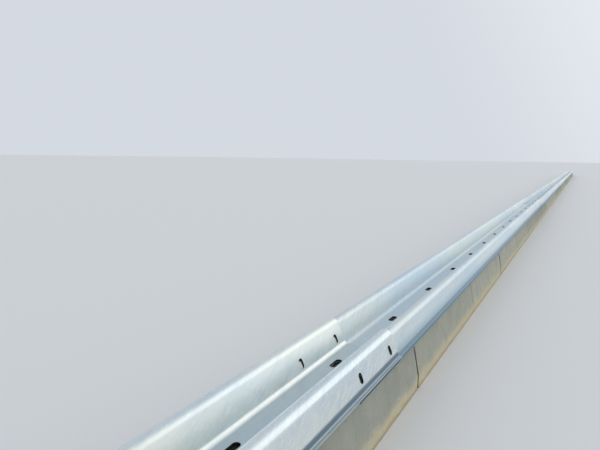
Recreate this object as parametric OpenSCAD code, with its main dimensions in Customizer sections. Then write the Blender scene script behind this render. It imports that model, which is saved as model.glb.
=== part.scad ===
// Steel guardrail rails of W section, laid end to end on a row of concrete kerb stones.
// The rails lie with their traffic face up, each one's end lapped over the next one's start.
// X runs along the road, Y points away from the carriageway and Z is up.
// The origin is in the middle of the row, under the rails' centre line, at the foot of the kerb.

/* [Row] */
// Number of rails in the row
rail_count = 6; // [2:1:6]
// Length that one rail adds to the row, from splice centre to splice centre
rail_pitch = 6000; // [3000:500:6000]
// Length of rail that lies on the next rail at a splice
lap = 320; // [300:10:400]
// Clearance between two rails' slopes in a lap, square to the sheet
lap_clearance = 0.25; // [0.1:0.05:0.5]

/* [Rail section] */
// Width over both lips
rail_w = 312; // [306:1:330]
// Depth from the back of the valley to the top of the crests
rail_depth = 83; // [78:1:90]
// Thickness of the steel sheet
sheet_t = 3; // [2.5:0.5:4]
// Distance between the tops of the two crests
crest_spacing = 194; // [188:1:198]
// Radius of the crest and valley bends, at the middle of the sheet
bend_r = 21; // [18:1:26]
// Slope of the inner webs, between valley and crest, from the level
inner_angle = 64; // [60:1:66]
// Slope of the outer webs, between crest and lip, from the level
outer_angle = 67; // [65:1:72]
// Radius of the bend between outer web and lip, at the middle of the sheet
lip_r = 5; // [4:0.5:8]
// Upward tilt of the lips
lip_angle = 10; // [5:1:15]

/* [Slots] */
// Distance between the slots for post bolts, along the valley
slot_pitch = 500; // [250:250:1000]
// Length of a slot for a post bolt
slot_l = 60; // [30:1:80]
// Width of a slot for a post bolt
slot_w = 20; // [14:1:24]
// Distance between the two columns of splice slots, along the rail
splice_spacing = 220; // [180:5:240]
// Length of a splice slot, up the slope of its web
splice_slot_l = 30; // [20:1:34]
// Width of a splice slot, along the rail
splice_slot_w = 18; // [14:1:20]
// Distance across the rail between the slots in the two inner webs
inner_row_spacing = 118; // [114:1:124]
// Distance across the rail between the slots in the two outer webs
outer_row_spacing = 260; // [256:1:264]

/* [Kerb] */
// Height of the kerb from the road to its top
kerb_h = 205; // [170:5:250]
// Width of the kerb at its foot
kerb_w = 180; // [150:5:250]
// Distance from the rails' centre line to the road face at the foot
kerb_reach = 147; // [130:1:155]
// Height of the upper part of the road face, which leans back
batter_h = 150; // [100:5:160]
// How far the road face leans back over that height
batter = 30; // [10:1:40]
// Length of a whole kerb stone
stone_l = 1000; // [800:50:2000]
// Length of the cut stone that starts the row
first_stone_l = 550; // [200:10:800]
// Chamfer on the end edges of a stone, which makes the joint's groove
joint_chamfer = 4; // [2:0.5:8]
// Chamfer on the two long edges of a stone's top
top_chamfer = 8; // [4:1:15]

/* [Hidden] */
$fn = 96;
half_t = sheet_t / 2;
rail_l = rail_pitch + lap;
row_l = rail_count * rail_pitch + lap;
// Heights of the middle of the sheet at the valley, the crests and the lip bends' centres
valley_z = half_t;
crest_z = rail_depth - half_t;
lip_z = half_t + lip_r;
crest_y = crest_spacing / 2;
// Inner web: its foot, its rise and its run, and the flat that is left in the valley
inner_rise = crest_z - valley_z - 2 * bend_r * (1 - cos(inner_angle));
inner_run = inner_rise / tan(inner_angle);
inner_foot_z = valley_z + bend_r * (1 - cos(inner_angle));
inner_foot_y = crest_y - bend_r * sin(inner_angle) - inner_run;
valley_half = inner_foot_y - bend_r * sin(inner_angle);
// Outer web: its head, its rise and its run, and the lip's bend and end beyond it
outer_head_y = crest_y + bend_r * sin(outer_angle);
outer_head_z = crest_z - bend_r * (1 - cos(outer_angle));
outer_rise = outer_head_z - (lip_z - lip_r * cos(outer_angle));
outer_run = outer_rise / tan(outer_angle);
lip_y = outer_head_y + outer_run + lip_r * sin(outer_angle);
lip_end_y = rail_w / 2 - half_t * sin(lip_angle);
lip_end_z = lip_z - lip_r * cos(lip_angle) + (lip_end_y - lip_y - lip_r * sin(lip_angle)) * tan(lip_angle);
// Lift of a rail that nests on another of the same section, and the tilt that it gives
lap_lift = (sheet_t + lap_clearance) / cos(max(inner_angle, outer_angle));
rail_tilt = asin(lap_lift / rail_pitch);
// Places of the kerb's joints along the row
joints = concat([0], [for (x = first_stone_l; x < row_l - joint_chamfer * 4; x = x + stone_l) x], [row_l]);
stone_count = len(joints) - 1;
// Longest step of a bend's outline, in degrees
arc_step = 6;

// Points along an arc about a centre, between two directions in degrees
function arc(y, z, r, from, to) =
    let (n = ceil(abs(to - from) / arc_step), step = (to - from) / n)
    [for (i = [0:n]) [y + r * cos(from + i * step), z + r * sin(from + i * step)]];

// Outline of one face of the sheet, from the valley to a lip, at a distance above the sheet's middle
function half_face(shift) = concat(
    arc(valley_half, valley_z + bend_r, bend_r - shift, -90, inner_angle - 90),
    arc(crest_y, crest_z - bend_r, bend_r + shift, 90 + inner_angle, 90 - outer_angle),
    arc(lip_y, lip_z, lip_r - shift, -90 - outer_angle, lip_angle - 90),
    [[lip_end_y - shift * sin(lip_angle), lip_end_z + shift * cos(lip_angle)]]
);

// The same points in the opposite order
function backwards(points) = [for (i = [len(points) - 1:-1:0]) points[i]];

// The same points on the other side of the rail's centre line
function mirrored(points) = [for (p = points) [-p[0], p[1]]];

// Cross section of a rail, with Y first and Z second
module rail_section() {
    upper = half_face(half_t);
    lower = half_face(-half_t);
    polygon(concat(backwards(mirrored(upper)), upper, backwards(lower), mirrored(lower)));
}

// Cutter for a round-ended slot with its long side along X
module slot(l, w) {
    depth = 4 * sheet_t;
    cube([l - w, w, depth], center = true);
    for (side = [-1, 1])
        translate([side * (l - w) / 2, 0, 0])
            cylinder(d = w, h = depth, center = true);
}

// Splice slots of one column: one in each of the four webs
module splice_column() {
    inner_y = inner_row_spacing / 2;
    inner_z = inner_foot_z + (inner_y - inner_foot_y) * tan(inner_angle);
    outer_y = outer_row_spacing / 2;
    outer_z = outer_head_z - (outer_y - outer_head_y) * tan(outer_angle);
    for (side = [0, 1])
        mirror([0, side, 0]) {
            translate([0, inner_y, inner_z])
                rotate([inner_angle, 0, 0])
                    rotate([0, 0, 90])
                        slot(splice_slot_l, splice_slot_w);
            translate([0, outer_y, outer_z])
                rotate([-outer_angle, 0, 0])
                    rotate([0, 0, 90])
                        slot(splice_slot_l, splice_slot_w);
        }
}

// One rail lying on its valley, from X = 0, with its post bolt slots and splice slots
module rail_beam() {
    color("#c8d5dd")
        difference() {
            rotate([90, 0, 90])
                linear_extrude(rail_l)
                    rail_section();
            for (x = [lap / 2 : slot_pitch : rail_l])
                translate([x, 0, valley_z])
                    slot(slot_l, slot_w);
            for (x = [lap / 2, rail_l - lap / 2], side = [-1, 1])
                translate([x + side * splice_spacing / 2, 0, 0])
                    splice_column();
        }
}

// Rail in its place: its start lies on the kerb and its end on the next rail
module rail(i) {
    tilt = i < rail_count ? rail_tilt : 0;
    translate([(i - 1) * rail_pitch - row_l / 2, 0, kerb_h])
        rotate([0, -tilt, 0])
            rail_beam();
}

// Cross section of a kerb stone, with Y first and Z second
module stone_section() {
    foot = -kerb_reach;
    back = kerb_w - kerb_reach;
    front = foot + batter;
    lean = batter / batter_h;
    polygon([
        [foot, 0],
        [back, 0],
        [back, kerb_h - top_chamfer],
        [back - top_chamfer, kerb_h],
        [front + top_chamfer, kerb_h],
        [front - lean * top_chamfer, kerb_h - top_chamfer],
        [foot, kerb_h - batter_h]
    ]);
}

// Kerb stone in its place in the row, with a chamfer round each end
module kerb_stone(i) {
    stone = joints[i] - joints[i - 1];
    color("#aaa592")
        translate([joints[i - 1] - row_l / 2, 0, 0])
            rotate([90, 0, 90])
                hull() {
                    linear_extrude(stone)
                        offset(delta = -joint_chamfer)
                            stone_section();
                    translate([0, 0, joint_chamfer])
                        linear_extrude(stone - 2 * joint_chamfer)
                            stone_section();
                }
}

for (i = [1:rail_count])
    rail(i);
for (i = [1:stone_count])
    kerb_stone(i);
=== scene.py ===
import math
import random
from types import SimpleNamespace

import bpy
from mathutils import Euler, Matrix, Vector
from mathutils import noise as field


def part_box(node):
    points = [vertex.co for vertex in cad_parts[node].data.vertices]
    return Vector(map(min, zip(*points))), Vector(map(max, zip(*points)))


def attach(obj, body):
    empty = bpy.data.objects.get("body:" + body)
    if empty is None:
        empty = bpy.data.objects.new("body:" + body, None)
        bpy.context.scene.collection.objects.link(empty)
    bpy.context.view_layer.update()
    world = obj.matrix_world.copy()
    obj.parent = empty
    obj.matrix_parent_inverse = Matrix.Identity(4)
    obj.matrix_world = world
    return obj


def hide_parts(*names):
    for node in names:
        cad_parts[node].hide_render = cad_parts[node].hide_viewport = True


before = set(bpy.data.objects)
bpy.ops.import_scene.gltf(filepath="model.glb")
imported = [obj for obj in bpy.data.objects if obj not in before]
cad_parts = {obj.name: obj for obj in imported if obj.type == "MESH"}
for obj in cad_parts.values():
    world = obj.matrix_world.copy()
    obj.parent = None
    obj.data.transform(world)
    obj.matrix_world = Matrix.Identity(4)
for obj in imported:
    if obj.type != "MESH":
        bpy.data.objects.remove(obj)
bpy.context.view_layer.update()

# Camera as found from the picture's perspective: metres in the row's frame, degrees and pixels
PICTURE_WIDTH = 600
FOCAL_PIXELS = 458.9
CAMERA_PLACE = (-13.2014, -0.5957, 0.8425)
CAMERA_HEADING = 31.344
CAMERA_PITCH = -8.379
CAMERA_ROLL = 0.779


def numbered(prefix):
    """The CAD nodes of one kind, in the order of their numbers."""
    return sorted((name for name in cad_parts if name.startswith(prefix)),
                  key=lambda name: int(name.rsplit("_", 1)[1]))


# The rails, what one of them adds to the row, and how much of it lies on the next
RAILS = numbered("rail_")
RAIL_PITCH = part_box(RAILS[1])[0].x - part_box(RAILS[0])[0].x
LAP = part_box(RAILS[0])[1].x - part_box(RAILS[1])[0].x
# Height that a rail gains over its pitch, because its far end lies on the next rail
LIFT = (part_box(RAILS[0])[1].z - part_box(RAILS[-1])[1].z) * RAIL_PITCH / (RAIL_PITCH + LAP)
# Thickness of the sheet, and distances from a rail's centre line: where the valley's floor ends, where
# the valley's rougher zinc gives way, and where the lips begin
SHEET = 0.003
VALLEY_HALF = 0.030
ROUGH_VALLEY_END = (0.046, 0.056)
LIP_FROM = 0.1448
# Spans from the centre line over which the painted shade at a lip comes in: web's foot, crease and dull lip
WEB_FOOT_SPAN = (LIP_FROM - 0.0168, LIP_FROM - 0.0038)
CREASE_SPAN = (LIP_FROM - 0.0062, LIP_FROM - 0.0030)
LIP_SPAN = (LIP_FROM - 0.0010, LIP_FROM + 0.0045)
# Spans over which the painted shade of a covered start ends along the rail and begins above its foot
LAP_SHADE_END = (LAP - 0.008, LAP - 0.004)
LAP_SHADE_FROM = (0.006, 0.010)

# Slots for post bolts and for splices: length and width, and how far apart they lie along the rail
POST_SLOT = (0.060, 0.020)
POST_SLOT_PITCH = 0.500
SPLICE_SLOT = (0.030, 0.018)
SPLICE_SPACING = 0.220
# Splice slots in the inner and outer webs: place across and above the foot, and the web's slope
INNER_ROW = (0.0590, 0.0305, math.radians(64))
OUTER_ROW = (0.1300, 0.0364, math.radians(-67))
# Bead of thick zinc round a slot
RIM_RADIUS = 0.0008
RIM_SIDES = 6
RIM_CORNERS = 20
# How far the painted shade on a slot's wall reaches onto the sheet
EDGE_MARGIN = 0.0003

# The kerb's stones, their faces and their joints
STONES = numbered("kerb_stone_")
KERB_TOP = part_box(STONES[0])[1].z
KERB_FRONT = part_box(STONES[0])[0].y
KERB_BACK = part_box(STONES[0])[1].y
FIRST_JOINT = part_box(STONES[0])[1].x
STONE_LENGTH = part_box(STONES[1])[1].x - FIRST_JOINT
# Leaning part of the road face: its height, and how far it leans back
BATTER_HEIGHT = 0.150
BATTER = 0.030
# Roundings where the road face starts to lean, along the top's two arrises and round a stone's ends
BREAK_ROUND = 0.012
ARRIS_ROUND = 0.009
END_ROUND = 0.004
# Every second joint is open, and every second one of those is wide. The others hold mortar
OPEN_EVERY = 2
WIDE_EVERY = 4
JOINT_GAP = 0.009
WIDE_GAP = 0.020
# Distances past a gap's edge between which its darkening fades out
JOINT_FADE = (0.0004, 0.0030)
# How far mortar and the wide joints' dark fill lie behind the stones' faces, and how uneven and hollow they
# are
MORTAR_DEPTH = 0.0015
DARK_FILL_DEPTH = 0.006
FILL_UNEVEN = 0.0009
FILL_HOLLOW = 0.0008
# Wear: soft unevenness of the faces, and the roughness at which a chip starts, how fast it deepens with more
# roughness, and how near an arris it lies
SOFT_WEAR = 0.0006
CHIP_FROM = 0.42
CHIP_DEPTH = 0.016
CHIP_REACH = 0.018
# How much a stone's end is askew, and how far from its end
END_SKEW = 0.0009
END_SKEW_REACH = 0.006
# Painted shade, nearly black, on the kerb's top under the rails' valley: its half-width, how far its edge
# fades out, and the heights between which it starts
TOP_SHADE_HALF = 0.045
TOP_SHADE_FADE = 0.01
TOP_SHADE_FROM = (KERB_TOP - 0.004, KERB_TOP - 0.002)
# Dust on the road face, by its level over the road and the unevenness of its edge
KHAKI_LEVEL = (0.075, 0.075)
OCHRE_LEVEL = (0.020, 0.034)

# Longest steps of the meshes, steps of a rounding, and places near a stone's end that round it
STONE_STEP = 0.0125
FILL_STEP = 0.010
ROUND_STEPS = 4
END_COLUMNS = (0.0, 0.0008, 0.0022, 0.0045, 0.008)

# Directions in which the zinc ran off the rails as they left the bath, and water down the road face
DRAIN = Vector((-0.90, -0.30, -0.30))
RUN_DOWN = Vector((0.0, 0.15, -1.0))

# Seed of what sets one rail's zinc apart from another's
LOOKS_SEED = 95137
# Zinc: its bluish and creamy patches, its draining streaks and its crystals
BLUISH_ZINC = (0.58, 0.70, 0.79)
CREAMY_ZINC = (0.78, 0.82, 0.77)
BRIGHT_STREAK = (0.92, 0.95, 0.93)
DULL_STREAK = (0.50, 0.60, 0.67)
CRYSTAL_GREY = (0.50, 0.58, 0.63)
# Valley's oxide film, also painted shade, and its painted sheen; painted shade at web foot, lip, crease,
# covered start, slot walls
VALLEY_FILM_AND_SHADE = (0.29, 0.41, 0.49)
VALLEY_PAINTED_SHEEN = (0.92, 0.97, 0.98)
WEB_FOOT_SHADE = (0.30, 0.45, 0.55)
LIP_SHADE_GREY = (0.24, 0.34, 0.38)
CREASE_SHADE_GREY = (0.14, 0.20, 0.25)
LAP_SHADE_BLACK = (0.03, 0.028, 0.025)
SLOT_WALL_SHADE = (0.035, 0.035, 0.035)

# Concrete: tints of stone and mortar, and how the darkest and the palest batch change them
STONE_TINT = (0.325, 0.345, 0.30)
MORTAR_TINT = (0.25, 0.26, 0.22)
DARK_BATCH = (1.00, 1.00, 0.98)
PALE_BATCH = (1.66, 1.56, 1.38)
# Its patches, stains, dust and pores, the painted shade on its top under the rails, and its dark open joints
PALE_CEMENT = (0.52, 0.50, 0.41)
COOL_CEMENT = (0.31, 0.35, 0.33)
STAIN = (0.22, 0.22, 0.19)
BROWN_SEEP = (0.56, 0.46, 0.28)
KHAKI_DUST = (0.72, 0.64, 0.42)
OCHRE_DUST = (0.56, 0.42, 0.20)
SAND_GRAIN = (0.20, 0.20, 0.18)
PORE = (0.13, 0.13, 0.11)
TOP_PAINTED_SHADE = (0.03, 0.027, 0.022)
OPEN_JOINT_DARK = (0.035, 0.032, 0.026)

# The studio: floor, the dome away from its glow and at it, and the lamp
FLOOR_HALF = 300.0
FLOOR_COLOUR = (0.80, 0.80, 0.79, 1)
DOME_FAR = (0.66, 0.70, 0.76, 1)
DOME_GLOW = (0.95, 0.97, 1.0, 1)
TOWARDS_GLOW = Vector((0.60, -0.65, 0.45))
TOWARDS_LAMP = Vector((0.79, -0.42, 0.45))
LAMP_ENERGY = 0.15
LAMP_ANGLE = math.radians(44)
LAMP_COLOUR = (1.0, 0.985, 0.95)


def new_material(name):
    """A material with an empty node tree, and its tree."""
    material = bpy.data.materials.new(name)
    material.use_nodes = True
    material.node_tree.nodes.clear()
    return material, material.node_tree


def add(tree, kind, feeds=None, **settings):
    """Adds a node, makes its settings and feeds its inputs from values or from other nodes' sockets."""
    node = tree.nodes.new(kind)
    for name, value in settings.items():
        setattr(node, name, value)
    for name, value in (feeds or {}).items():
        socket = node.inputs[name]
        if isinstance(value, bpy.types.NodeSocket):
            tree.links.new(value, socket)
        else:
            socket.default_value = value
    return node


def math_node(tree, operation, first, second=0.0, clamp=False):
    """The result of one sum on two numbers or sockets."""
    node = add(tree, "ShaderNodeMath", {0: first, 1: second}, operation=operation, use_clamp=clamp)
    return node.outputs[0]


def scaled(tree, value, factor):
    """A value or a mask times a number."""
    return math_node(tree, "MULTIPLY", value, factor)


def stretch(tree, value, low, high, to_low=0.0, to_high=1.0):
    """A value's range brought smoothly to another range."""
    node = add(tree, "ShaderNodeMapRange", {"Value": value, "From Min": low, "From Max": high,
                                            "To Min": to_low, "To Max": to_high},
               interpolation_type="SMOOTHSTEP")
    return node.outputs["Result"]


def blend(tree, share, first, second):
    """A colour between two colours, which are inputs 6 and 7 and output 2 of a mix node."""
    node = add(tree, "ShaderNodeMix", {"Factor": share, 6: first, 7: second}, data_type="RGBA")
    return node.outputs[2]


def coated(tree, base, mask, colour, share=1.0):
    """A colour with another one laid over it by a share of a mask."""
    return blend(tree, scaled(tree, mask, share), base, (*colour, 1))


def noise(tree, place, scale, detail, roughness):
    """Soft noise from 0 to 1 at a place."""
    node = add(tree, "ShaderNodeTexNoise", {"Vector": place, "Scale": scale, "Detail": detail,
                                            "Roughness": roughness})
    return node.outputs["Fac"]


def wrapped(tree, value, period):
    """Distance of a value from the nearest whole multiple of a period."""
    node = add(tree, "ShaderNodeMath", {0: value, 1: period / 2, 2: -period / 2}, operation="WRAP")
    return math_node(tree, "ABSOLUTE", node.outputs[0])


def object_place(tree):
    """Place on the object, in metres in the row's frame, and its three parts."""
    place = add(tree, "ShaderNodeTexCoord").outputs["Object"]
    return place, add(tree, "ShaderNodeSeparateXYZ", {"Vector": place}).outputs


def new_group(name, inputs, output):
    """A node group with named inputs, given as names and kinds, and one named value as its output."""
    tree = bpy.data.node_groups.new(name, "ShaderNodeTree")
    for title, kind in inputs.items():
        tree.interface.new_socket(title, in_out="INPUT", socket_type="NodeSocket" + kind)
    tree.interface.new_socket(output, in_out="OUTPUT", socket_type="NodeSocketFloat")
    return tree, tree.nodes.new("NodeGroupInput").outputs, tree.nodes.new("NodeGroupOutput").inputs


def clouds_group():
    """Soft patches: 0 to 1 between two thresholds of a noise whose patches have a given size."""
    tree, given, out = new_group("soft_clouds", {"Place": "Vector", "Size": "Vector", "Low": "Float",
                                                 "High": "Float"}, "Mask")
    place = add(tree, "ShaderNodeVectorMath", {0: given["Place"], 1: given["Size"]}, operation="DIVIDE")
    patches = noise(tree, place.outputs[0], 1.0, 4.0, 0.55)
    tree.links.new(stretch(tree, patches, given["Low"], given["High"]), out["Mask"])
    return tree


def streaks_group():
    """Streaks drawn out along a direction, given as a turn of the X axis, with a length and a width."""
    tree, given, out = new_group("run_streaks", {"Place": "Vector", "Turn": "Vector", "Size": "Vector",
                                                 "Low": "Float", "High": "Float"}, "Mask")
    place = add(tree, "ShaderNodeMapping", {"Vector": given["Place"], "Rotation": given["Turn"],
                                            "Scale": given["Size"]}, vector_type="TEXTURE")
    lines = noise(tree, place.outputs[0], 1.0, 3.0, 0.6)
    tree.links.new(stretch(tree, lines, given["Low"], given["High"]), out["Mask"])
    return tree


def settled_group():
    """A mask of what lies low: 1 at the bottom, fading out unevenly round a level. It places settled dust,
    and the valley's oxide film with its painted shade.
    """
    tree, given, out = new_group("settled_dust_and_shade", {"Place": "Vector", "Height": "Float", "Level": "Float",
                                                  "Unevenness": "Float"}, "Mask")
    edge = noise(tree, given["Place"], 14.0, 5.0, 0.6)
    shift = math_node(tree, "MULTIPLY", math_node(tree, "SUBTRACT", edge, 0.5), given["Unevenness"])
    height = math_node(tree, "ADD", given["Height"], shift)
    share = math_node(tree, "DIVIDE", height, given["Level"])
    tree.links.new(stretch(tree, share, 0.35, 1.0, 1.0, 0.0), out["Mask"])
    return tree


def past_slot_edge(tree, run, cross, slot):
    """Distance from a round-ended slot's edge, from how far a place is along its length and across it."""
    length, width = slot
    past = math_node(tree, "MAXIMUM", math_node(tree, "SUBTRACT", run, (length - width) / 2), 0.0)
    square = math_node(tree, "ADD", math_node(tree, "POWER", past, 2.0),
                       math_node(tree, "POWER", cross, 2.0))
    return math_node(tree, "SUBTRACT", math_node(tree, "SQRT", square), width / 2)


def past_splice_slot(tree, given, column, row):
    """Distance from the edge of one row's slots, given how far a place is from their column's middle."""
    across, up, slope = row
    aside = math_node(tree, "SUBTRACT", given["Across"], across)
    above = math_node(tree, "SUBTRACT", given["Up"], up)
    run = math_node(tree, "ADD", scaled(tree, aside, math.cos(slope)),
                    scaled(tree, above, math.sin(slope)))
    off = math_node(tree, "SUBTRACT", scaled(tree, aside, math.sin(slope)),
                    scaled(tree, above, math.cos(slope)))
    edge = past_slot_edge(tree, math_node(tree, "ABSOLUTE", run), column, SPLICE_SLOT)
    off_sheet = math_node(tree, "SUBTRACT", math_node(tree, "ABSOLUTE", off), SHEET)
    return math_node(tree, "MAXIMUM", edge, off_sheet)


def punched_group():
    """The walls of a rail's slots: 1 on them, from a place along, across and up its section."""
    tree, given, out = new_group("punched_edges", {"Along": "Float", "Across": "Float", "Up": "Float"},
                                 "Mask")
    from_first = math_node(tree, "SUBTRACT", given["Along"], LAP / 2)
    nearest = past_slot_edge(tree, wrapped(tree, from_first, POST_SLOT_PITCH), given["Across"], POST_SLOT)
    column = math_node(tree, "SUBTRACT", wrapped(tree, from_first, RAIL_PITCH), SPLICE_SPACING / 2)
    column = math_node(tree, "ABSOLUTE", column)
    for row in (INNER_ROW, OUTER_ROW):
        nearest = math_node(tree, "MINIMUM", nearest, past_splice_slot(tree, given, column, row))
    tree.links.new(math_node(tree, "LESS_THAN", nearest, EDGE_MARGIN), out["Mask"])
    return tree


CLOUDS = clouds_group()
STREAKS = streaks_group()
SETTLED = settled_group()
PUNCHED = punched_group()


def clouds(tree, place, size, low=0.35, high=0.65):
    """The soft patches group, placed in a material."""
    return add(tree, "ShaderNodeGroup", {"Place": place, "Size": size, "Low": low, "High": high},
               node_tree=CLOUDS).outputs["Mask"]


def streaks(tree, place, along, size, low, high):
    """The streaks group, placed in a material, with its lines along a direction."""
    turn = along.to_track_quat("X", "Z").to_euler()
    return add(tree, "ShaderNodeGroup", {"Place": place, "Turn": turn, "Size": size, "Low": low,
                                         "High": high}, node_tree=STREAKS).outputs["Mask"]


def settled(tree, place, height, level, unevenness):
    """The settled dust group, placed in a material."""
    return add(tree, "ShaderNodeGroup", {"Place": place, "Height": height, "Level": level,
                                         "Unevenness": unevenness}, node_tree=SETTLED).outputs["Mask"]


def zinc(tree, place, look):
    """The zinc's colour, and its masks of patches, bright draining streaks and crystals."""
    moved = add(tree, "ShaderNodeVectorMath", {0: place, 1: (look.shift, 0.0, 0.0)}, operation="ADD")
    patches = clouds(tree, moved.outputs[0], (0.9, 0.12, 0.16))
    warm = math_node(tree, "ADD", scaled(tree, patches, 0.7), 0.6 * look.warmth - 0.15, clamp=True)
    bluish = [part + look.tone for part in BLUISH_ZINC]
    creamy = [part + look.tone for part in CREAMY_ZINC]
    base = coated(tree, (*bluish, 1), warm, creamy)

    gathered = clouds(tree, place, (0.45, 0.45, 0.45), 0.40, 0.62)
    bright = streaks(tree, place, DRAIN, (0.38, 0.0055, 0.0055), 0.47, 0.72)
    bright = math_node(tree, "MULTIPLY", bright, stretch(tree, gathered, 0.0, 1.0, 0.35, 1.0))
    base = coated(tree, base, bright, BRIGHT_STREAK, 0.45)
    dull = streaks(tree, place, DRAIN, (0.55, 0.022, 0.022), 0.48, 0.72)
    base = coated(tree, base, dull, DULL_STREAK, 0.30)
    crystal = add(tree, "ShaderNodeTexVoronoi", {"Vector": place, "Scale": 120.0}).outputs["Color"]
    crystals = add(tree, "ShaderNodeRGBToBW", {"Color": crystal}).outputs["Val"]
    base = coated(tree, base, stretch(tree, crystals, 0.0, 1.0), CRYSTAL_GREY, 0.12)
    return base, patches, bright, crystals


def lip_painted_shade(tree, base, across, dullness):
    """Painted shade at the web's foot, in the dark crease above the lip and on the dull lip, and a mask of
    crease and lip.
    """
    foot = stretch(tree, across, *WEB_FOOT_SPAN)
    base = coated(tree, base, foot, WEB_FOOT_SHADE, 6 * dullness)
    lip = stretch(tree, across, *LIP_SPAN)
    base = coated(tree, base, lip, LIP_SHADE_GREY, 0.45 + 4 * dullness)
    crease = math_node(tree, "SUBTRACT", stretch(tree, across, *CREASE_SPAN), lip, clamp=True)
    base = coated(tree, base, crease, CREASE_SHADE_GREY, 0.95 - 4 * dullness)
    return base, math_node(tree, "MAXIMUM", lip, crease)


def lap_painted_shade(tree, along, height):
    """A mask of painted shade on a rail's covered start, under the rail above it: on faces that look up,
    above the valley's floor.
    """
    covered = stretch(tree, along, *LAP_SHADE_END, 1.0, 0.0)
    covered = math_node(tree, "MULTIPLY", covered, stretch(tree, height, *LAP_SHADE_FROM))
    normal = add(tree, "ShaderNodeTexCoord").outputs["Normal"]
    facing = add(tree, "ShaderNodeSeparateXYZ", {"Vector": normal}).outputs["Z"]
    return math_node(tree, "MULTIPLY", covered, stretch(tree, facing, 0.05, 0.15))


def steel_material(name, start, lift, look, covered):
    """Hot-dip galvanised sheet of one rail, which starts at a place and rises by a lift to the next rail.

    The look is its tone, the share of its oxide film and painted shade in the valley, its warmth, how dull
    it is, which also sets how much painted shade and sheen it gets, and a shift that places its patches. The
    walls of its slots are painted dark as shade, and a covered start is painted nearly black as shade."""
    material, tree = new_material(name)
    place, parts = object_place(tree)
    along = math_node(tree, "SUBTRACT", parts["X"], start)
    across = math_node(tree, "ABSOLUTE", parts["Y"])
    rise = scaled(tree, along, lift / RAIL_PITCH)
    height = math_node(tree, "SUBTRACT", math_node(tree, "SUBTRACT", parts["Z"], KERB_TOP), rise)

    base, patches, bright, crystals = zinc(tree, place, look)
    # The valley's darker, duller oxide film, which also stands in as painted shade between the crests; on
    # dull rails a paler painted sheen of the sky lies over it
    valley = settled(tree, place, math_node(tree, "SUBTRACT", across, VALLEY_HALF), 0.010, 0.006)
    base = coated(tree, base, valley, VALLEY_FILM_AND_SHADE, look.skin)
    base = coated(tree, base, valley, VALLEY_PAINTED_SHEEN, 2 * look.dullness)
    # Painted shade at the outer webs' foot, in the crease and on the lips
    base, lips = lip_painted_shade(tree, base, across, look.dullness)

    rough = stretch(tree, math_node(tree, "ADD", patches, bright), 0.2, 1.8,
                    0.27 + look.dullness, 0.35 + look.dullness)
    rougher = stretch(tree, across, *ROUGH_VALLEY_END, 1.5 * look.dullness, 0.0)
    rough = math_node(tree, "ADD", rough, rougher)
    skinned = math_node(tree, "MAXIMUM", valley, lips)
    rough = math_node(tree, "ADD", rough, scaled(tree, skinned, 0.14))
    metal = math_node(tree, "SUBTRACT", 1.0, scaled(tree, skinned, 0.20))
    # A covered start is painted nearly black and matt as shade under the rail above it
    if covered:
        lap_shade = lap_painted_shade(tree, along, height)
        base = coated(tree, base, lap_shade, LAP_SHADE_BLACK)
        metal = math_node(tree, "SUBTRACT", metal, lap_shade, clamp=True)
        rough = math_node(tree, "ADD", rough, scaled(tree, lap_shade, 0.4))
    # The slots' walls are painted nearly black as shade
    walls = add(tree, "ShaderNodeGroup", {"Along": along, "Across": across, "Up": height},
                node_tree=PUNCHED).outputs["Mask"]
    base = coated(tree, base, walls, SLOT_WALL_SHADE)
    metal = math_node(tree, "SUBTRACT", metal, walls, clamp=True)

    waves = noise(tree, place, 4.0, 1.0, 0.4)
    wavy = add(tree, "ShaderNodeBump", {"Height": waves, "Strength": 1.0, "Distance": 0.003})
    relief = math_node(tree, "ADD", scaled(tree, crystals, 0.10), bright)
    bump = add(tree, "ShaderNodeBump", {"Height": relief, "Strength": 0.11, "Distance": 0.0005,
                                        "Normal": wavy.outputs["Normal"]})
    shader = add(tree, "ShaderNodeBsdfPrincipled", {"Base Color": base, "Roughness": rough,
                                                    "Metallic": metal, "Normal": bump.outputs["Normal"]})
    add(tree, "ShaderNodeOutputMaterial", {"Surface": shader.outputs["BSDF"]})
    return material


def batch_colour(tree, run, tint):
    """The colour of each stone: its batches change along the row, and each stone differs a little."""
    number = math_node(tree, "FLOOR", math_node(tree, "DIVIDE", run, STONE_LENGTH))
    batch = math_node(tree, "SINE", math_node(tree, "SUBTRACT", number, 6.2))
    single = add(tree, "ShaderNodeTexWhiteNoise", {"W": number}, noise_dimensions="1D").outputs["Value"]
    own = blend(tree, 0.3, stretch(tree, batch, -1.0, 1.0), single)
    darkest = [part * change for part, change in zip(tint, DARK_BATCH)]
    palest = [part * change for part, change in zip(tint, PALE_BATCH)]
    return blend(tree, own, (*darkest, 1), (*palest, 1))


def cast_and_stained(tree, place, height, base):
    """The concrete's patches, stains and seeps, with dust towards its foot, and a mask of the patches."""
    patches = clouds(tree, place, (0.22, 0.22, 0.12))
    base = coated(tree, base, patches, PALE_CEMENT, 0.55)
    cool = clouds(tree, place, (0.07, 0.07, 0.09), 0.42, 0.66)
    base = coated(tree, base, cool, COOL_CEMENT, 0.38)
    stains = streaks(tree, place, RUN_DOWN, (0.25, 0.055, 0.055), 0.45, 0.80)
    base = coated(tree, base, stains, STAIN, 0.18)
    seeps = streaks(tree, place, RUN_DOWN, (0.30, 0.07, 0.07), 0.56, 0.78)
    base = coated(tree, base, seeps, BROWN_SEEP, 0.32)
    khaki = settled(tree, place, height, *KHAKI_LEVEL)
    base = coated(tree, base, khaki, KHAKI_DUST, 0.80)
    ochre = settled(tree, place, height, *OCHRE_LEVEL)
    return coated(tree, base, ochre, OCHRE_DUST, 0.62), patches


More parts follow.
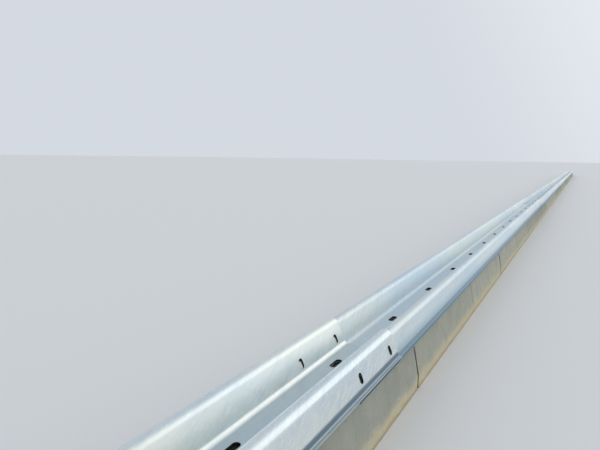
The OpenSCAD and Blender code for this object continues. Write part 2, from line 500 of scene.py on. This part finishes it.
def open_joints(tree, run):
    """A mask of the joints that hold no mortar, and of the edges beside them."""
    near, far = JOINT_FADE
    masks = []
    for gap, every in ((JOINT_GAP, OPEN_EVERY), (WIDE_GAP, WIDE_EVERY)):
        aside = wrapped(tree, run, every * STONE_LENGTH)
        masks.append(stretch(tree, aside, gap / 2 + near, gap / 2 + far, 1.0, 0.0))
    return math_node(tree, "MAXIMUM", *masks)


def concrete_material(name, tint):
    """Cast concrete in a tint: pores, stains, dust towards its foot, painted shade on its top under the
    rails, and dark open joints.
    """
    material, tree = new_material(name)
    place, parts = object_place(tree)
    run = math_node(tree, "SUBTRACT", parts["X"], FIRST_JOINT)
    base, patches = cast_and_stained(tree, place, parts["Z"], batch_colour(tree, run, tint))

    grain = noise(tree, place, 380.0, 3.0, 0.7)
    base = coated(tree, base, stretch(tree, grain, 0.35, 0.75), SAND_GRAIN, 0.35)
    bubbles = add(tree, "ShaderNodeTexVoronoi", {"Vector": place, "Scale": 55.0}).outputs["Distance"]
    pores = stretch(tree, bubbles, 0.06, 0.14, 1.0, 0.0)
    base = coated(tree, base, pores, PORE, 0.6)
    across = math_node(tree, "ABSOLUTE", parts["Y"])
    # Painted shade, nearly black, on the kerb's top under the rails' valley
    under_rail = stretch(tree, across, TOP_SHADE_HALF, TOP_SHADE_HALF + TOP_SHADE_FADE, 1.0, 0.0)
    on_top = stretch(tree, parts["Z"], *TOP_SHADE_FROM)
    base = coated(tree, base, math_node(tree, "MULTIPLY", under_rail, on_top), TOP_PAINTED_SHADE)
    # Open joints, and the edges just beside them, are darkened
    base = coated(tree, base, open_joints(tree, run), OPEN_JOINT_DARK, 0.9)

    relief = math_node(tree, "SUBTRACT", math_node(tree, "ADD", grain, scaled(tree, patches, 0.8)), pores)
    bump = add(tree, "ShaderNodeBump", {"Height": relief, "Strength": 0.7, "Distance": 0.0010})
    rough = stretch(tree, patches, 0.0, 1.0, 0.82, 0.95)
    shader = add(tree, "ShaderNodeBsdfPrincipled", {"Base Color": base, "Roughness": rough,
                                                    "Normal": bump.outputs["Normal"]})
    add(tree, "ShaderNodeOutputMaterial", {"Surface": shader.outputs["BSDF"]})
    return material


def new_piece(name, points, faces, material):
    """A mesh piece of the row that rides with it, with a material.

    Faces of four corners are smooth, and end faces of many corners are flat."""
    mesh = bpy.data.meshes.new(name)
    mesh.from_pydata(points, [], faces)
    mesh.polygons.foreach_set("use_smooth", [len(face) == 4 for face in faces])
    mesh.materials.append(material)
    piece = bpy.data.objects.new(name, mesh)
    bpy.context.scene.collection.objects.link(piece)
    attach(piece, "root")
    return piece


def dress_rails():
    """Gives every rail its own galvanised finish, and its slots their rims of thick zinc."""
    looks = random.Random(LOOKS_SEED)
    for name in RAILS:
        nearest = name == RAILS[0]
        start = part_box(name)[0].x
        lift = 0.0 if name == RAILS[-1] else LIFT
        look = SimpleNamespace(tone=looks.uniform(-0.12, 0.01), skin=looks.uniform(0.15, 1.0),
                               warmth=looks.uniform(0.1, 0.9),
                               dullness=0.0 if nearest else looks.uniform(0.05, 0.12),
                               shift=looks.uniform(0.0, 9.0))
        finish = steel_material("galvanised_" + name, start, lift, look, not nearest)
        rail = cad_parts[name]
        rail.data.materials.clear()
        rail.data.materials.append(finish)
        slot_rims(name, start, lift, finish)


def slot_places():
    """Centres, slopes and sizes of a rail's slots. Centres are from its start, across and above its foot."""
    for number in range(int((RAIL_PITCH + LAP / 2) / POST_SLOT_PITCH) + 1):
        yield (LAP / 2 + number * POST_SLOT_PITCH, 0.0, SHEET / 2), 0.0, POST_SLOT
    for column in (LAP / 2, RAIL_PITCH + LAP / 2):
        for step in (-SPLICE_SPACING / 2, SPLICE_SPACING / 2):
            for across, up, slope in (INNER_ROW, OUTER_ROW):
                for side in (-1, 1):
                    yield (column + step, side * across, up), side * slope, SPLICE_SLOT[::-1]


def slot_rims(name, start, lift, finish):
    """A thin bead of zinc round each slot, on the sheet's upper face."""
    points = []
    faces = []
    for centre, slope, (length, width) in slot_places():
        radius = min(length, width) / 2
        reach = (length - width) / 2
        turn = Euler((slope, 0, 0)).to_matrix()
        foot = KERB_TOP + lift * centre[0] / RAIL_PITCH
        middle = Vector((start + centre[0], centre[1], foot + centre[2]))
        first = len(points)
        for corner in range(RIM_CORNERS):
            angle = 2 * math.pi * (corner + 0.5) / RIM_CORNERS
            out = Vector((math.cos(angle), math.sin(angle), 0))
            spot = out * (radius + RIM_RADIUS)
            spot.x += math.copysign(max(reach, 0), out.x)
            spot.y += math.copysign(max(-reach, 0), out.y)
            spot.z += SHEET / 2
            for side in range(RIM_SIDES):
                roll = 2 * math.pi * side / RIM_SIDES
                bead = out * math.cos(roll) + Vector((0, 0, math.sin(roll)))
                points.append(middle + turn @ (spot + bead * RIM_RADIUS))
        for corner in range(RIM_CORNERS):
            here = first + corner * RIM_SIDES
            there = first + (corner + 1) % RIM_CORNERS * RIM_SIDES
            for side in range(RIM_SIDES):
                after = (side + 1) % RIM_SIDES
                faces.append((here + side, there + side, there + after, here + after))
    new_piece("slot_rims_" + name, points, faces, finish)


def kerb_corners():
    """Corners of the kerb's section, with the radius of the arris at each: across, up, radius."""
    top = KERB_FRONT + BATTER
    return [(KERB_FRONT, 0.0, 0.0), (KERB_FRONT, KERB_TOP - BATTER_HEIGHT, BREAK_ROUND),
            (top, KERB_TOP, ARRIS_ROUND), (KERB_BACK, KERB_TOP, ARRIS_ROUND), (KERB_BACK, 0.0, 0.0)]


def rounded_outline(corners, longest):
    """Points round an outline with rounded corners, with no step longer than a length on its flats."""
    rounded = []
    for index, (y, z, radius) in enumerate(corners):
        corner = Vector((y, z))
        before = Vector(corners[index - 1][:2]) - corner
        after = Vector(corners[(index + 1) % len(corners)][:2]) - corner
        if radius == 0:
            rounded.append(corner)
            continue
        half = before.angle(after) / 2
        reach = radius / math.tan(half)
        start = corner + before.normalized() * reach
        end = corner + after.normalized() * reach
        for step in range(ROUND_STEPS + 1):
            share = step / ROUND_STEPS
            rounded.append(start.lerp(corner, share).lerp(corner.lerp(end, share), share))
    points = []
    for index, spot in enumerate(rounded):
        following = rounded[(index + 1) % len(rounded)]
        count = max(1, math.ceil((following - spot).length / longest))
        points.extend(spot.lerp(following, step / count) for step in range(count))
    return points


def outward(points):
    """The outward direction at each point of a closed outline that runs up its front."""
    directions = []
    for index in range(len(points)):
        run = points[(index + 1) % len(points)] - points[index - 1]
        directions.append(Vector((-run.y, run.x)).normalized())
    return directions


def body_faces(first, rows, ring):
    """Faces of a closed body whose outline is repeated in rows: its sides, and then its two ends."""
    faces = []
    for row in range(rows - 1):
        here = first + row * ring
        for index in range(ring):
            after = (index + 1) % ring
            faces.append((here + index, here + after, here + ring + after, here + ring + index))
    last = first + (rows - 1) * ring
    faces.append(tuple(first + index for index in range(ring)))
    faces.append(tuple(last + index for index in reversed(range(ring))))
    return faces


def wear(place, edge, seed):
    """How deep a stone is worn at a place: soft unevenness, and chips where an arris is near."""
    shifted = Vector(place) + Vector((seed * 3.7, 0, 0))
    soft = SOFT_WEAR * (1 + field.noise(shifted * 9))
    rough = field.noise(shifted * 38) + 0.5 * field.noise(shifted * 90)
    chip = max(0.0, rough - CHIP_FROM) * CHIP_DEPTH
    return soft + chip * max(0.0, 1 - edge / CHIP_REACH)


def joint_gap(number):
    """Gap at a joint, counted from the row's start."""
    return WIDE_GAP if number % WIDE_EVERY == 0 else JOINT_GAP


def stone_columns(length):
    """Places along a stone where its outline is repeated: close together at its ends, even between."""
    margin = END_COLUMNS[-1]
    count = math.ceil((length - 2 * margin) / STONE_STEP)
    between = [margin + (length - 2 * margin) * step / count for step in range(1, count)]
    return [*END_COLUMNS, *between, *(length - back for back in reversed(END_COLUMNS))]


def kerb_stone(number, name, finish):
    """A cast stone with softly worn faces, rounded and chipped arrises and open gaps at its ends."""
    low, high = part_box(name)
    start = low.x if number == 0 else low.x + joint_gap(number - 1) / 2
    end = high.x if number == len(STONES) - 1 else high.x - joint_gap(number) / 2
    outline = rounded_outline(kerb_corners(), STONE_STEP)
    normals = outward(outline)
    top_front = Vector((KERB_FRONT + BATTER, KERB_TOP))
    columns = stone_columns(end - start)
    points = []
    for along in columns:
        margin = min(along, end - start - along)
        inset = END_ROUND - math.sqrt(max(0.0, END_ROUND ** 2 - max(0.0, END_ROUND - margin) ** 2))
        for spot, normal in zip(outline, normals):
            edge = min(margin, (spot - top_front).length)
            deep = inset
            if spot.y > 0:
                deep += wear((start + along, spot.x, spot.y), edge, number)
            moved = spot - normal * deep
            skew = 0.0
            if margin < END_SKEW_REACH:
                skew = END_SKEW * field.noise(Vector((number, spot.x * 12, spot.y * 12)))
            points.append((start + along + skew, moved.x, max(moved.y, 0.0)))
    faces = body_faces(0, len(columns), len(outline))
    piece = new_piece("stone_" + name.rsplit("_", 1)[1], points, faces, finish)
    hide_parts(name)


def joint_fill(name, joints, gap, depth, finish):
    """What fills some of the joints, a little behind the stones' faces and hollow in its middle."""
    outline = rounded_outline(kerb_corners(), FILL_STEP)
    normals = outward(outline)
    rows = ((-gap / 2, 0.0), (-gap / 4, FILL_HOLLOW), (gap / 4, FILL_HOLLOW), (gap / 2, 0.0))
    points = []
    faces = []
    for joint in joints:
        faces.extend(body_faces(len(points), len(rows), len(outline)))
        for along, hollow in rows:
            for spot, normal in zip(outline, normals):
                place = Vector((joint + along, spot.x, spot.y))
                uneven = FILL_UNEVEN * (1 + field.noise(place * 60))
                moved = spot - normal * (depth + uneven + hollow)
                points.append((joint + along, moved.x, max(moved.y, 0.0)))
    new_piece(name, points, faces, finish)


def build_kerb():
    """The kerb's stones, mortar in every second joint and a dark fill in the wide ones."""
    stone_finish = concrete_material("kerb_concrete", STONE_TINT)
    fill_finish = concrete_material("joint_mortar", MORTAR_TINT)
    for number, name in enumerate(STONES):
        kerb_stone(number, name, stone_finish)
    joints = [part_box(name)[1].x for name in STONES[:-1]]
    filled = [joint for number, joint in enumerate(joints) if number % OPEN_EVERY]
    joint_fill("joint_mortar", filled, JOINT_GAP, MORTAR_DEPTH, fill_finish)
    joint_fill("joint_dark_fill", joints[::WIDE_EVERY], WIDE_GAP, DARK_FILL_DEPTH, fill_finish)


def make_floor():
    """A plain pale floor at the kerb's foot."""
    half = FLOOR_HALF
    mesh = bpy.data.meshes.new("floor")
    mesh.from_pydata([(-half, -half, 0), (half, -half, 0), (half, half, 0), (-half, half, 0)], [],
                     [(0, 1, 2, 3)])
    floor = bpy.data.objects.new("floor", mesh)
    bpy.context.scene.collection.objects.link(floor)
    material, tree = new_material("studio_floor")
    shader = add(tree, "ShaderNodeBsdfPrincipled", {"Base Color": FLOOR_COLOUR, "Roughness": 0.9})
    add(tree, "ShaderNodeOutputMaterial", {"Surface": shader.outputs["BSDF"]})
    mesh.materials.append(material)


def make_light():
    """Soft studio light: a broad lamp ahead of the camera, and a pale dome with a glow near the lamp."""
    world = bpy.data.worlds.new("studio")
    bpy.context.scene.world = world
    world.use_nodes = True
    tree = world.node_tree
    tree.nodes.clear()
    direction = add(tree, "ShaderNodeTexCoord").outputs["Generated"]
    nearness = add(tree, "ShaderNodeVectorMath", {0: direction, 1: TOWARDS_GLOW.normalized()},
                   operation="DOT_PRODUCT").outputs["Value"]
    pale = blend(tree, stretch(tree, nearness, 0.45, 1.0), DOME_FAR, DOME_GLOW)
    dome = add(tree, "ShaderNodeBackground", {"Color": pale, "Strength": 1.0})
    add(tree, "ShaderNodeOutputWorld", {"Surface": dome.outputs["Background"]})
    lamp = bpy.data.lights.new("key_light", "SUN")
    lamp.energy = LAMP_ENERGY
    lamp.angle = LAMP_ANGLE
    lamp.color = LAMP_COLOUR
    key = bpy.data.objects.new("key_light", lamp)
    key.rotation_mode = "QUATERNION"
    key.rotation_quaternion = TOWARDS_LAMP.to_track_quat("Z", "Y")
    bpy.context.scene.collection.objects.link(key)


def make_camera():
    """The camera at the picture's place, direction and field of view."""
    data = bpy.data.cameras.new("camera")
    data.sensor_width = 36.0
    data.lens = FOCAL_PIXELS / PICTURE_WIDTH * data.sensor_width
    data.clip_start = 0.05
    data.clip_end = 1000.0
    camera = bpy.data.objects.new("camera", data)
    turn = (Matrix.Rotation(math.radians(CAMERA_HEADING - 90), 4, "Z")
            @ Matrix.Rotation(math.radians(90 + CAMERA_PITCH), 4, "X")
            @ Matrix.Rotation(math.radians(CAMERA_ROLL), 4, "Z"))
    camera.matrix_world = Matrix.Translation(CAMERA_PLACE) @ turn
    bpy.context.scene.collection.objects.link(camera)
    bpy.context.scene.camera = camera


bpy.context.scene.view_settings.view_transform = "Standard"
make_camera()
make_floor()
make_light()
dress_rails()
build_kerb()
